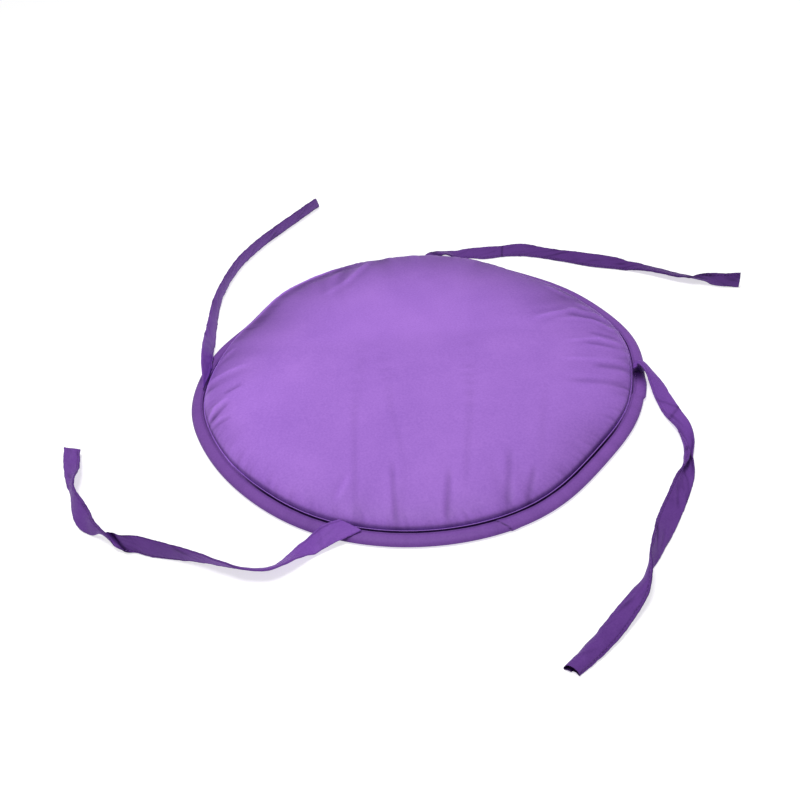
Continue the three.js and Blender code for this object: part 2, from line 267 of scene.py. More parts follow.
@dataclass(frozen=True)
class ClothFinish:
    """Fine plain-woven cloth with a soft satin sheen.

    Attributes:
        name: Name of the material.
        tone: Main colour, linear.
        deep: Colour of the darker patches, linear.
        sheen_white: Share of white in the sheen, the rest being the main colour.
        patchy: Where the darker patches end and the main colour begins.
    """

    name: str
    tone: Tone
    deep: Tone
    coordinates: Coordinates = Coordinates.PLAN
    sheen: float = 0.1
    gloss: float = 0.28
    thread: float = 0.55
    relief: float = 0.03
    sheen_white: float = 0.1
    sheen_roughness: float = 0.25
    roughness: Pair = (0.5, 0.62)
    patchy: Pair = (0.34, 0.66)

    def colour(self, cloth: ClothNodes) -> Socket:
        """Gives the mottled colour, darkened towards the painted shade colour by the shade
        attribute.
        """
        mottle = cloth.blend(cloth.noise_at(26.0, 3.0), 0.45, cloth.noise_at(620.0, 2.0), 0.55)
        ramp = cloth.made("ValToRGB", {"Fac": mottle})
        stops = zip(ramp.color_ramp.elements, self.patchy, (self.deep, self.tone), strict=True)
        for stop, position, tone in stops:
            stop.position = position
            stop.color = (*tone, 1.0)
        # The shade attribute carries painted shade, which the mix node blends in.
        folded = cloth.made("Attribute", {})
        folded.attribute_name = SHADE
        deepened = cloth.made("Mix", {0: folded.outputs["Fac"]})
        deepened.data_type = "RGBA"
        cloth.feed(deepened, {6: ramp.outputs["Color"], 7: (*PAINTED_SHADE_TONE, 1.0)})
        return deepened.outputs[2]

    def weave(self, cloth: ClothNodes, slubs: Socket) -> Socket:
        """Gives the bumps of the crossing threads and their thicker places."""
        pitch = self.thread * MM
        crossing = cloth.combined("MULTIPLY", cloth.threads("X", pitch), cloth.threads("Y", pitch))
        height = cloth.blend(crossing, 0.7, slubs, 0.6)
        bump = cloth.made("Bump", {"Distance": self.relief * MM, "Strength": 0.8, "Height": height})
        return bump.outputs["Normal"]

    def build(self) -> Material:
        """Makes the material."""
        material = bpy.data.materials.new(self.name)
        material.use_nodes = True
        cloth = ClothNodes(material, self.coordinates)
        slubs = cloth.noise_at(900.0, 2.0, (1.0, 0.12, 1.0))
        least, greatest = self.roughness
        rough = cloth.made("MapRange", {"Value": slubs, "To Min": least, "To Max": greatest})
        tint = [mixed(part, 1.0, self.sheen_white) for part in self.tone]
        looks = {
            "Base Color": self.colour(cloth),
            "Roughness": rough.outputs["Result"],
            "Normal": self.weave(cloth, slubs),
            "Sheen Weight": self.sheen,
            "Sheen Roughness": self.sheen_roughness,
            "Sheen Tint": (*tint, 1.0),
            "Specular IOR Level": self.gloss,
        }
        cloth.feed(cloth.surface, looks)
        return material


PANEL_FINISH = ClothFinish(
    "panel cloth", (0.475, 0.218, 0.815), (0.385, 0.17, 0.705), sheen=0.35, gloss=0.18
)
BINDING_FINISH = ClothFinish(
    "binding cloth", (0.25, 0.1, 0.445), (0.207, 0.08, 0.385), Coordinates.STRIP, 0.03, 0.14
)
TIE_FINISH = ClothFinish(
    "tie cloth", (0.262, 0.099, 0.5), (0.213, 0.077, 0.43), Coordinates.STRIP, 0.02, 0.1
)
THREAD_FINISH = ClothFinish(
    "sewing thread", (0.21, 0.08, 0.38), (0.17, 0.062, 0.32), thread=0.2, relief=0.02
)


class Pleat(NamedTuple):
    """A pleat that runs in from the stitching as far as its reach, and swings round on the way."""

    at: float
    spread: float
    depth: float
    reach: float
    swing: float

    def cut(self, angle: float, inset: float) -> float:
        """Gives how deep the pleat is at a place."""
        course = self.at + self.swing * inset / self.reach
        return self.depth * hump(turn_between(course, angle), self.spread) * hump(inset, self.reach)


class Crease(NamedTuple):
    """A crease from one place of the panel to another, raised where rise is over 0."""

    x0: float
    y0: float
    x1: float
    y1: float
    rise: float
    width: float

    # Shares of its length by which it runs on past each end, and over which it fades.
    run_on = 0.3
    fade = 0.45
    # The shallow trough beside it, and where both end, in widths.
    trough_share = 0.35
    trough_width = 2.4
    end_width = 4.0

    def lift(self, x: float, y: float) -> float:
        """Gives how far the crease moves the panel at a place."""
        run_x, run_y = self.x1 - self.x0, self.y1 - self.y0
        off_x, off_y = x - self.x0, y - self.y0
        length = math.hypot(run_x, run_y)
        share = (off_x * run_x + off_y * run_y) / length**2
        aside = abs(off_x * run_y - off_y * run_x) / length
        begun, left_over = share + self.run_on, 1.0 + self.run_on - share
        if min(begun, left_over) < 0.0 or aside > self.end_width * self.width:
            return 0.0
        profile = hump(aside, self.width)
        profile -= self.trough_share * hump(aside, self.trough_width * self.width)
        return self.rise * eased(begun / self.fade) * eased(left_over / self.fade) * profile


# Where the rim is drawn out, or pushed in where the height is under 0.
RIM_PULLS = rows_of(
    Bump,
    (8, 5.5, 14), (55, -7, 18), (147, -8.5, 12), (185, 4, 14), (222, -1.5, 16), (318, -7, 18),
)

PLEATS = rows_of(
    Pleat,
    (2, 1.9, 0.9, 40, 3), (7.5, 2.2, 1.1, 44, 3), (12, 1.8, 1.2, 30, 5), (17, 2, 1.5, 46, 9),
    (26, 4.5, 1.7, 42, 6), (62, 5, 0.9, 34, 2), (79, 5, 0.8, 32, 0), (91, 2.4, 0.8, 30, -1),
    (99, 3.4, 1.5, 34, -2), (109, 2.8, 1.4, 44, 9), (116, 2.4, 1.2, 42, 9), (125, 5, 1.3, 30, 4),
    (149, 9, 1.6, 30, 0), (170, 3.2, 1.6, 34, -4), (176, 1.8, 1, 24, -5), (183, 2, 1.2, 36, -6),
    (190, 2.4, 1.8, 30, -7), (195, 1.8, 1, 26, -3), (203, 3, 0.6, 22, 0), (252, 1.9, 0.8, 26, 0),
    (261, 1.8, 1, 38, 1), (274, 1.8, 0.9, 36, 1), (288, 2, 1, 34, 2), (294, 2, 0.8, 30, 3),
    (318, 15, 1, 30, 0), (347, 2.4, 0.9, 40, 2), (352.5, 1.8, 0.8, 36, 3), (357, 1.8, 0.7, 40, 3),
)

CREASES = rows_of(
    Crease,
    # Long faint folds from the back to the front of the panel.
    (-46, 20, -54, -60, -0.18, 3.5), (-54, -60, -56, -165, -0.26, 3),
    (-28, 20, -25, -50, -0.16, 3), (-25, -50, -18, -110, -0.16, 3), (45, 20, 40, -50, -0.22, 3),
    (40, -50, 28, -135, -0.24, 3), (100, -55, 88, -110, -0.18, 3),
    # Short folds over the front edge.
    (-60, -130, -68, -147, 0.6, 3), (-27, -125, -27, -168, -0.55, 2.6),
    (15, -135, 10, -170, -0.6, 2.6), (62, -120, 55, -162, -0.6, 3),
    (78, -135, 70, -160, -0.6, 2.6),
    # Slanting folds at the back left.
    (-36, 163, -58, 130, 1.1, 3.2), (-58, 130, -76, 112, 0.7, 3.4),
    (-60, 156, -69, 142, 0.9, 2.8),
    # Folds that run in from the right rim.
    (112, 48, 143, 59, 0.9, 3.6), (143, 59, 162, 53, 1, 2.8), (140, 52, 164, 43, -0.8, 2.8),
    (130, 44, 158, 42, 0.5, 2.6), (158, 41, 175, 26, 0.8, 2.2), (128, 98, 145, 81, 0.8, 2.4),
    (150, 70, 168, 48, 0.6, 2.2), (154, 22, 172, 16, -0.7, 2.6), (133, 12, 157, 13, 0.7, 2.6),
    (157, 13, 174, 8, 0.9, 2.2), (147, 9, 168, 3, -0.7, 2.6), (128, -12, 168, -16, 0.5, 3),
    (150, -22, 174, -25, -0.8, 4), (128, -40, 168, -45, -0.6, 4),
    # Curved folds at the left rim.
    (-176, 26, -160, 44, 0.9, 2.4), (-172, 6, -148, 15, 0.8, 3),
    (-161, -16, -150, -10, -0.8, 2.6), (-174, -42, -170, -32, 0.9, 1.8),
    (-170, -32, -160, -25, 0.8, 2), (-171, -43, -160, -32, -1, 2.4),
    (-173, -51, -163, -46, 0.8, 1.8), (-171, -54, -157, -49, -0.8, 2.4),
)


# The tucks that the stitching draws in, and the bands beside it that they keep to.
DRAWN_IN = rows_of(Bump, (100, 0.5, 40), (0, 0.5, 34), (184, 0.5, 26))
LONG_TUCKS = rows_of(Ripples, (1, 0.42, 0.03, 3.7), (0.6, 0.9, 0.05, 8.1))
SHORT_TUCKS, ODD_TUCKS = rows_of(Ripples, (1, 0.8, 0, 14.2), (1, 0.55, 0, 19.4))
LONG_BAND, SHORT_BAND, ODD_BAND = rows_of(Bump, (4, 1, 11), (2, 1, 5), (1, 0.8, 9))

# The unevenness of the filling, of the rib and of the painted shade in the groove.
FILLING = rows_of(Ripples, (0.45, 1 / 62, 1 / 62, 1.3), (0.16, 1 / 21, 1 / 24, 5.2))
RIB_RIPPLES, GROOVE_RIPPLES = rows_of(Ripples, (0.12, 0.7, 0, 2.2), (0.3, 1.1, 0, 5.6))

# By distance from the stitching: the thin lip with the trough behind it, and the painted shade
# where the panel turns down, in the trough and at the seam.
LIP = rows_of(Bump, (2.2, 1.5, 1.6), (10, -1.5, 5.5))
EDGE_SHADE, BACK_RIM_SHADE, LEFT_SHADE = rows_of(Bump, (0, 0.06, 16), (0, 0.32, 51), (0, 0.1, 20))
TROUGH_SHADE, SEAM_SHADE = rows_of(Bump, (10, 0.12, 5), (0, 0.3, 0.8))

# By plan angle: the painted shade at the left end, the painted highlight along the edge at the
# right, and the painted shade of the groove.
LEFT_END, HIGHLIT_RIGHT, FRONT_MIDDLE = rows_of(Bump, (198, 1, 12), (26, 0.45, 24), (272, 0.6, 22))
GROOVE_SIDES = rows_of(Bump, (195, 0.35, 12), (4, 0.3, 34))

# The binding: its small tucks and the wander of its inner edge; painted shade in its tucks, its
# grooves, at its outer fold and more at the left, but less at the right where the light falls; and
# the dark line of its join.
BAND_TUCKS = rows_of(Ripples, (0.24, 0.5, 0, 4.4), (0.2, 0.95, 0, 6.4))
BAND_TUCK_SHADE, BAND_WANDER = rows_of(Ripples, (0.1, 0.5, 0, 4.4), (0.25, 0.3, 0, 9.4))
BAND_LEFT, BAND_LIT = rows_of(Bump, (195, 0.25, 12), (-10, 0.16, 55))
OUTER_SHADE, JOIN_TONE = rows_of(Bump, (0, 0.2, 1.4), (-0.3, 0.6, 0.55))
STITCH_SHADE, DEEP_SHADE = rows_of(Bump, (-1.15, 0.3, 0.5), (0.15, 1, 0.5))

# Where the ties go into the stitching, with the depth of the shadow there.
TIE_ROOTS = rows_of(Bump, (-7.2, 1, 3), (80, 0.7, 3.4), (173.5, 0.45, 1.8), (-110.5, 0.75, 1.4))
UNDER_TIE = Bump(6.5, 1, 7.5)


class RingPoint(NamedTuple):
    """A point of a section: its distance from the middle, its height and its shade."""

    reach: float
    height: float
    shade: float = 0.0

    def place(self, angle: float) -> Vector:
        """Gives its place in metres at a plan angle."""
        turned = math.radians(angle)
        x, y = self.reach * math.cos(turned), self.reach * math.sin(turned)
        return Vector((x, y, self.height)) * MM


def ring_grid(
    name: str,
    section: Callable[[float], list[RingPoint]],
    steps: int,
    closed: bool,
    lie: Callable[[int, int], Pair],
) -> Piece:
    """Makes a piece that runs round the cushion.

    Args:
        name: Name of the new object.
        section: Gives its section at a plan angle.
        steps: Number of sections.
        closed: Whether each section closes on itself.
        lie: Gives a point's place on the flat cloth, in metres.

    Returns:
        The new object.
    """
    sections = [section(step * FULL_TURN / steps) for step in range(steps)]
    count = len(sections[0])

    def place(step: int, row: int) -> Vector:
        """Gives the place of a point."""
        return sections[step % steps][row % count].place(step % steps * FULL_TURN / steps)

    def shade(step: int, row: int) -> float:
        """Gives the shade of a point."""
        return sections[step % steps][row % count].shade

    return woven_grid(name, (steps, count if closed else count - 1), place, lie, shade)


@dataclass(frozen=True)
class Rim:
    """The outline of the cushion and the height of its sewn edge."""

    radius: float = 189.5
    seam_height: float = 5.4
    seam_lift: float = 1.5
    droop: float = 1.6
    band_width: float = 10.0
    ribbed: Stretch = Stretch(275.0, 48.0, 20.0)

    def reach(self, angle: float) -> float:
        """Gives the distance from the middle to the outer edge."""
        return self.radius + sum(pull.round(angle) for pull in RIM_PULLS)

    def height(self, angle: float, inset: float) -> float:
        """Gives the height of the middle of the sewn edge."""
        seam = self.seam_height + self.seam_lift * math.sin(math.radians(angle))
        return seam - self.droop * max(0.0, 1.0 - inset / self.band_width)


@dataclass
class Pad:
    """The filled pad: crowned top panel, stitched channel with its rib, and flat underside."""

    rim: Rim
    crest: float = 24.5
    crest_behind: float = 45.0
    front_fall: float = 1.8
    back_fall: float = 2.5
    side_fall: float = 2.5
    # A faint ridge across the panel, from which its front part slopes down and is darkened by
    # painted shade.
    ridge_at: float = 35.0
    ridge_softness: float = 8.0
    ridge_slope: float = 0.019
    ridge_fade: Pair = (-140.0, -70.0)
    ridge_shade: float = 0.05
    ridge_shade_half: float = 9.0
    steepness: float = 9.0
    roundness: float = 2.3
    # Along the back the filling bulges out over the stitching.
    bulge: float = 5.5
    bulged: Stretch = Stretch(106.0, 42.0, 18.0)
    bulge_start: float = 1.6
    bulge_reach: float = 18.0
    # Where the panel ends, before a clear rib and where there is none.
    stitch_inset: float = 13.6
    plain_inset: float = 11.6
    stitch_rise: float = 1.2
    tuck_height: float = 1.3
    tuck_lean: float = 0.12
    least_drawn: float = 0.16
    filled_inset: float = 30.0
    crease_gain: float = 2.1
    # Where the panel has its lip, where painted shade darkens its rim broadly at the back, and
    # where a painted highlight runs along its edge.
    lipped: Stretch = Stretch(130.0, 20.0, 14.0)
    back_shaded: Stretch = Stretch(98.0, 60.0, 36.0)
    highlit: Stretch = Stretch(148.0, 28.0, 12.0)
    highlight_inset: Pair = (0.8, 3.0)
    # The sewn layers, and the rib and the groove where they are clear and where they have faded.
    layers_half: float = 0.8
    crests: Pair = (1.2, 2.6)
    grooves: Pair = (1.1, -0.3)
    foot_inset: float = 27.0
    round_steps: int = 720
    pleats_end: float = 110.0
    # How far the rings of the top panel lie in from the stitching.
    rings: tuple[float, ...] = (
        (0, 0.4, 0.9, 1.5, 2.2, 3, 3.9, 4.9, 6, 7.2, 8.5, 10, 11.6, 13.4, 15.4, 17.6, 20, 22.6)
        + (25.4, 28.4, 31.6, 35, 38.6, 42.4, 46.4, 50.6, 55, 59.6, 64.4, 69.4, 74.8, 80.6, 86.8)
        + (93.4, 100.4, 107.8, 115.6, 123.8, 132.4, 141.4, 150.8, 160.6)
    )

    def ridge_strength(self, x: float) -> float:
        """Gives how clear the ridge is, fading to the left."""
        start, end = self.ridge_fade
        return eased((x - start) / (end - start))

    def crown(self, x: float, y: float) -> float:
        """Gives the height of the filled pad if it had no drawn-in edge."""
        side = x / self.rim.radius
        behind = (y - self.crest_behind) / self.rim.radius
        fall = self.front_fall if behind < 0 else self.back_fall
        before = (self.ridge_at - y + math.hypot(self.ridge_at - y, self.ridge_softness)) / 2.0
        slope = self.ridge_slope * self.ridge_strength(x)
        return self.crest - fall * behind**2 - self.side_fall * side**2 - slope * before

    def bulge_out(self, angle: float, inset: float) -> float:
        """Gives how far the filling bulges out over the stitching."""
        outward = self.bulge * self.bulged.strength(angle)
        return outward * (1.0 - hump(inset, self.bulge_start)) * hump(inset, self.bulge_reach)

    def edge_inset(self, angle: float) -> float:
        """Gives how far in the panel ends, further where the rib is clear."""
        return mixed(self.plain_inset, self.stitch_inset, self.rim.ribbed.strength(angle))

    def puckers(self, angle: float, inset: float) -> float:
        """Gives the small uneven tucks beside the stitching."""
        drawn = self.least_drawn + sum(bump.round(angle) for bump in DRAWN_IN)
        course = angle + self.tuck_lean * inset
        long = sum(tucks.at(course, inset) for tucks in LONG_TUCKS) * LONG_BAND.over(inset)
        short = SHORT_TUCKS.at(course) * SHORT_BAND.over(inset)
        odd = max(0.0, ODD_TUCKS.at(course) - 0.25) * ODD_BAND.over(inset)
        return self.tuck_height * (drawn * long + (0.55 + 0.4 * drawn) * (short - odd))

    def fullness(self, x: float, y: float, inset: float) -> float:
        """Gives the soft unevenness of the filling."""
        return eased(inset / self.filled_inset) * sum(ripples.at(x, y) for ripples in FILLING)

    def lip(self, angle: float, inset: float) -> float:
        """Gives the thin lip and its trough along the back left."""
        return self.lipped.strength(angle) * sum(bump.over(inset) for bump in LIP)

    def rim_shade(self, angle: float, inset: float, x: float, y: float) -> float:
        """Gives the panel's painted shade where it turns down, in the trough, in front of the
        ridge, towards the right and the front and at the seam, and a painted highlight along parts
        of its edge.
        """
        edge = EDGE_SHADE.over(inset) + self.back_shaded.strength(angle) * BACK_RIM_SHADE.over(inset)
        edge += LEFT_END.round(angle) * LEFT_SHADE.over(inset)
        edge += self.lipped.strength(angle) * TROUGH_SHADE.over(inset)
        past_ridge = (self.ridge_at + self.ridge_shade_half - y) / (2.0 * self.ridge_shade_half)
        ridge = self.ridge_shade * eased(past_ridge) * self.ridge_strength(x)
        # Painted shade that grows towards the right and towards the front.
        across = 0.05 * x / self.rim.radius + 0.08 * (min(0.0, y) / self.rim.radius) ** 2
        # Painted highlight along the edge, at the back left and the right, in place of the seam's
        # painted shade.
        pale = self.highlit.strength(angle) + HIGHLIT_RIGHT.round(angle)
        least, lift = self.highlight_inset
        highlight_line = Bump(least + lift * max(0.0, math.sin(math.radians(angle))), 0.7, 1.7)
        seam = (1.0 - min(1.0, pale)) * SEAM_SHADE.over(inset) - pale * highlight_line.over(inset)
        # Painted shade of 0.1 all over, so that painted light on ridges and puckers can lighten the
        # panel.
        return 0.1 + edge + ridge + across + seam

    def panel_point(self, angle: float, inset: float) -> RingPoint:
        """Gives the point of the top panel at a distance in from the stitching."""
        edge = self.rim.reach(angle) - self.edge_inset(angle)
        reach = max(0.0, edge - inset)
        x = reach * math.cos(math.radians(angle))
        y = reach * math.sin(math.radians(angle))
        stitch = self.rim.height(angle, self.edge_inset(angle)) + self.stitch_rise
        rise = (1.0 - (reach / edge) ** self.steepness) ** (1.0 / self.roundness)
        puckers = self.puckers(angle, inset)
        cut = sum(pleat.cut(angle, inset) for pleat in PLEATS) if inset < self.pleats_end else 0.0
        crease = self.crease_gain * sum(crease.lift(x, y) for crease in CREASES)
        full = self.crown(x, y) - stitch + puckers + self.fullness(x, y, inset) - cut + crease
        # Painted shade in the pleats, the hollows of the puckers and the crease valleys, and
        # painted light on the puckers and the crease ridges.
        shade = self.rim_shade(angle, inset, x, y) + 0.1 * cut
        shade += 0.2 * max(0.0, -puckers) - 0.08 * max(0.0, puckers)
        shade += 0.2 * max(0.0, -crease) - 0.1 * max(0.0, crease)
        outward = self.bulge_out(angle, inset)
        return RingPoint(reach + outward, stitch + full * rise + self.lip(angle, inset), shade)

    def channel(self, angle: float) -> list[RingPoint]:
        """Gives the stitched channel and the sewn layers."""
        strength = self.rim.ribbed.strength(angle)
        crest = mixed(*self.crests, strength) + RIB_RIPPLES.at(angle)
        groove = mixed(*self.grooves, strength)
        # Painted shade in the grooves on either side of the rib, less at the front middle, and
        # weaker and uneven where the rib has faded.
        dark = strength * (0.8 - FRONT_MIDDLE.round(angle))
        beside = 0.1 + sum(bump.round(angle) for bump in GROOVE_SIDES) + GROOVE_RIPPLES.at(angle)
        groove_shade = mixed(beside, 1.0, strength)

        def layer(inset: float, rise: float, shade: float = 0.0) -> RingPoint:
            """Gives a point near the sewn edge."""
            height = self.rim.height(angle, inset) + rise
            return RingPoint(self.rim.reach(angle) - inset, height, shade)

        def rib(inset: float, squeezed: float, rise: float, shade: float) -> RingPoint:
            """Gives a point of the rib, squeezed flat where the rib fades out."""
            return layer(mixed(squeezed, inset, strength), rise, shade)

        # The last number of each point is its painted shade.
        return [
            rib(13.5, 11.55, mixed(1.1, 0.5, strength), 0.7 * dark),
            rib(13.3, 11.5, groove, dark),
            rib(12.75, 11.45, groove, dark),
            rib(12.5, 11.4, mixed(groove, crest, 0.6), 0.6 * dark),
            rib(12.25, 11.35, mixed(groove, crest, 0.92), 0.1 * dark),
            rib(11.8, 11.3, crest, 0.2 * strength),
            rib(11.45, 11.25, mixed(groove, crest, 0.92), groove_shade),
            layer(11.2, mixed(groove, crest, 0.5), groove_shade),
            layer(11.0, groove, groove_shade),
            layer(10.6, mixed(1.0, -0.5, strength), mixed(0.5, 1.0, strength)),
            layer(10.1, 0.2, 1.0),
            *[layer(inset, self.layers_half) for inset in (8.0, 4.0)],
            layer(3.5, 0.0),
            *[layer(inset, -self.layers_half) for inset in (4.0, 8.0, 11.0)],
        ]

    def section(self, angle: float) -> list[RingPoint]:
        """Gives the pad's section at a plan angle."""
        reach = self.rim.reach(angle)
        panel = [self.panel_point(angle, ring) for ring in reversed(self.rings)]
        middle = self.panel_point(0.0, reach - self.edge_inset(angle))._replace(reach=0.0)
        under = self.rim.height(angle, 11.0) - self.layers_half
        wall = 0.35 * under
        sole = [
            RingPoint(reach - 14.0, mixed(under, wall, 0.55)),
            RingPoint(reach - 17.0, wall),
            RingPoint(reach - 20.0, 0.42 * wall),
            RingPoint(reach - 23.5, 0.12 * wall),
            *[RingPoint(reach - inset, 0.0) for inset in (self.foot_inset, 34.0, 60.0, 110.0)],
            RingPoint(0.0, 0.0),
        ]
        return [middle, *panel, *self.channel(angle), *sole]

    def build(self) -> Piece:
        """Makes the pad."""

        def lie(step: int, row: int) -> Pair:
            """Gives a place, though the panel's threads follow the plan instead."""
            return step * MM, row * MM

        return ring_grid("pad_panels", self.section, self.round_steps, False, lie)


@dataclass
class Binding:
    """The strip folded over the sewn edge, its ends joined on the slant at the front right."""

    rim: Rim
    width: float = 10.0
    inside: float = 1.3
    outside: float = 2.5
    crown: float = 2.7
    join_at: float = -74.2
    join_slope: float = 0.9
    join_length: float = 9.0
    join_height: float = 0.45
    # How far it is drawn out beside the right tie, and where this starts and ends.
    drawn_out: float = 1.4
    drawn_from: Pair = (-15.7, -14.9)
    drawn_to: Pair = (-10.0, -6.0)
    # Which point of the section is the stitched line.
    stitched: int = 4
    round_steps: int = 900

    def past_join(self, angle: float, inset: float) -> float:
        """Gives how far a place lies beyond the join's slanting line."""
        travel = math.radians(turn_between(self.join_at, angle)) * self.rim.radius
        return travel - self.join_slope * (self.width / 2.0 - inset)

    def join(self, angle: float, inset: float) -> float:
        """Gives how much of the join's extra layer there is."""
        past = self.past_join(angle, inset)
        return eased(past + 0.5) * eased((self.join_length - past) / 7.0)

    def shade(self, angle: float, inset: float) -> float:
        """Gives the painted shade of a place, in tucks and grooves, at the outer fold and under a
        tie, less at the right where the light falls, and the dark line of the join.
        """
        deep = mixed(0.2 + BAND_LEFT.round(angle), 0.95, self.rim.ribbed.strength(angle))
        beyond = inset - self.width
        tone = 0.16 - BAND_LIT.round(angle) + OUTER_SHADE.over(inset)
        tone += STITCH_SHADE.over(beyond) + deep * DEEP_SHADE.over(beyond)
        tone += max(0.0, -BAND_TUCK_SHADE.at(angle)) + JOIN_TONE.over(self.past_join(angle, inset))
        return tone + UNDER_TIE.over(inset) * sum(root.round(angle) for root in TIE_ROOTS)

    def section(self, angle: float) -> list[RingPoint]:
        """Gives the strip's section at a plan angle."""
        tuck = sum(ripples.at(angle) for ripples in BAND_TUCKS)
        wander = BAND_WANDER.at(angle)
        turned = turn_between(0.0, angle)
        start, full = self.drawn_from
        fading, end = self.drawn_to
        drawn = eased((turned - start) / (full - start)) * eased((end - turned) / (end - fading))
        reach = self.rim.reach(angle) + self.drawn_out * drawn

        def strip(inset: float, rise: float) -> RingPoint:
            """Gives a point of the strip."""
            extra = self.join(angle, inset)
            puff = rise
            if abs(rise) > self.inside:
                puff += math.copysign(self.join_height * extra, rise)
            if rise > self.inside:
                puff += tuck * hump(inset - 0.6 * self.width, 3.6)
            shift = 0.5 * extra * hump(inset, 3.0) + wander * hump(inset - self.width, 3.0)
            height = self.rim.height(angle, inset) + puff
            return RingPoint(reach - inset + shift, height, self.shade(angle, inset))

        width, inside, outside = self.width, self.inside, self.outside
        upper = ((width, inside), (width + 0.25, inside + 0.5), (width - 0.1, outside - 0.15))
        stitched = ((width - 0.7, outside), (width - 1.15, outside - 0.3), (width - 1.6, outside))
        crowned = ((7.4, self.crown), (5.6, self.crown + 0.05), (4.0, self.crown))
        turned_down = ((2.8, outside - 0.1), (1.7, outside - 0.5), (0.9, 1.35), (0.3, 0.7))
        turned_in = ((0.0, 0.0), (0.3, -0.7), (0.9, -1.35), (1.7, 0.5 - outside))
        lower = ((3.2, 0.2 - outside), (6.0, -outside), (width, -outside), (width + 0.2, -1.9))
        lining = ((width, -inside), (6.0, -inside), (2.9, -inside), (2.5, 0.0), (2.9, inside))
        rows = upper + stitched + crowned + turned_down + turned_in + lower + lining
        return [strip(inset, rise) for inset, rise in (*rows, (6.0, inside))]

    def build(self) -> Piece:
        """Makes the binding."""
        first = [Vector(point[:2]) for point in self.section(0.0)]
        lengths = [0.0]
        for start, end in zip(first, [*first[1:], first[0]], strict=True):
            lengths.append(lengths[-1] + (end - start).length)

        def lie(step: int, row: int) -> Pair:
            """Gives the point's place on the strip, cut on the slant."""
            along = step / self.round_steps * math.tau * self.rim.radius
            across = lengths[row]
            return (along + across) * MM * math.sqrt(0.5), (across - along) * MM * math.sqrt(0.5)

        return ring_grid("binding_strip", self.section, self.round_steps, True, lie)

    def stitch_places(self, pitch: float, look: float = 0.2) -> list[StitchPlace]:
        """Gives the place of each stitch along the inner edge."""
        count = int(math.tau * self.rim.radius / pitch)
        places = []
        for stitch in range(count):
            angle = stitch * FULL_TURN / count
            middle = self.section(angle)[self.stitched].place(angle)
            ahead = self.section(angle + look)[self.stitched].place(angle + look) - middle
            places.append((middle, ahead.normalized(), Vector((0.0, 0.0, 1.0))))
        return places


class Pose(NamedTuple):
    """How a tie lies at one place on its way.

    The columns are the plan position of its middle line, the height of its lowest point over
    the floor, its lean, 90 with its left edge on top, its roll lengthwise, how far its left
    edge is set ahead of the right one, and how far its crosswise line is turned ahead.
    """

    x: float
    y: float
    lift: float
    lean: float
    curl: float
    slant: float = 0.0
    skew: float = 0.0


ROUTE_LEFT = rows_of(
    Pose,
    (-181.3, 17, 2, 66, 0, -27), (-182, 30, 7.8, 66, 0, -16), (-182.3, 45, 8.8, 65, 10, -4),
    (-183.3, 60, 5, 65, 20), (-184, 78, 1, 67, 20), (-184, 100, 0, 73, 25),
    (-183, 130, 0, 81, 30), (-179, 158.5, 0, 93, 30), (-168.3, 198, 0, 99, 25),
    (-150.4, 232.8, 0, 103, 22), (-128.3, 263.6, 0, 104.5, 20), (-105.8, 292.5, 0, 105, 20),
    (-88.5, 314.4, 0, 106, 20, -9),
)

ROUTE_BACK = rows_of(
    Pose,
    (26.5, 180.5, 9.4, 0, 0), (31, 186, 7.9, -10, 10), (38, 191, 4.4, -16, 20),
    (50, 195, 0.5, -4, 0), (66, 195.5, 0, 6, 0), (80, 191.5, 0, 16, 0), (98, 193, 0, 11, 0),
    (118, 190.5, 0, 19, 0), (139, 183.7, 0, 8, 0), (160, 173, 0, 13, 0), (186, 159.5, 0, 20, 0),
    (203, 154, 0, 12, 0), (219, 147.5, 0, -5, 0), (236, 136.5, 0, -18, 0),
    (256, 122.7, 0, -22, 0), (270, 114, 0, -36, -20), (281, 105.5, 0, -72, -50),
    (292, 101, 0, -82, -40), (307, 98.5, 0, -92, -50),
)

ROUTE_RIGHT = rows_of(
    Pose,
    (181.8, -14.5, 7.8, -14, 90), (187.5, -17, 8.4, -38, 90), (192.5, -25, 5.4, -42, 60),
    (195.8, -36, 2.2, -28, 20), (198, -50, 0.5, -14, 0), (201, -68, 0, -4, -20),
    (203.5, -86, 0, -12, -90), (202, -104, 0, -24, -210), (198.2, -120, 0, -32, -330),
    (193.8, -133, 0, -34, -240), (187.8, -147, 0, -30, -70), (178.8, -164, 0, -24, -40),
    (167.3, -184, 0, -24, 0), (156.8, -203, 0, -50, 0), (145.8, -221, 0, -74, -30),
    (139, -235, 0, -108, -40), (130.5, -249, 0, -146, -20), (117, -264, 0, -164, -30),
    (103.8, -277.8, 0, -172, -90), (89.6, -290.7, 0, -176, -140),
    (76.2, -301.8, 0, -180, -190, 3),
)

ROUTE_FRONT = rows_of(
    Pose,
    (-60, -168.5, 7, -6, 0, -10), (-74, -174.5, 4.2, -26, 10, -5), (-84, -178.5, 2.7, -12, 20),
    (-93.5, -183.5, 1, 8, 20), (-101.5, -190.5, 0, 30, 10), (-109.5, -197, 0, 41, 10),
    (-119, -201.2, 0, 46, 30), (-133, -200.4, 0, 51, 20), (-150, -195, 0, 62, -10),
    (-174, -185.8, 0, 79, -30), (-201, -176.2, 0, 101, -20), (-214, -170.5, 0.4, 104, -10, 0, 14),
    (-225, -167, 1, 108, 0, 0, 38), (-231.5, -163, 2.4, 128, 20, 0, 56),
    (-237, -159.5, 4.2, 174, 40, 0, 60), (-241.5, -157, 3.6, 226, 40, 0, 52),
    (-246.5, -154, 1.6, 266, 30, 0, 36), (-252.5, -149, 0.4, 290, 20, 0, 20),
    (-259.5, -139, 0, 316, 0, 0, 7), (-266, -128, 0, 315, 0), (-273.5, -112, 0, 290, 0),
    (-276.5, -100, 0, 296, 0), (-279.5, -87, 0, 324, 0), (-284.5, -66, 0.3, 338, 0, 8),
    (-286.5, -53.5, 0.4, 344, 0, 13),
)


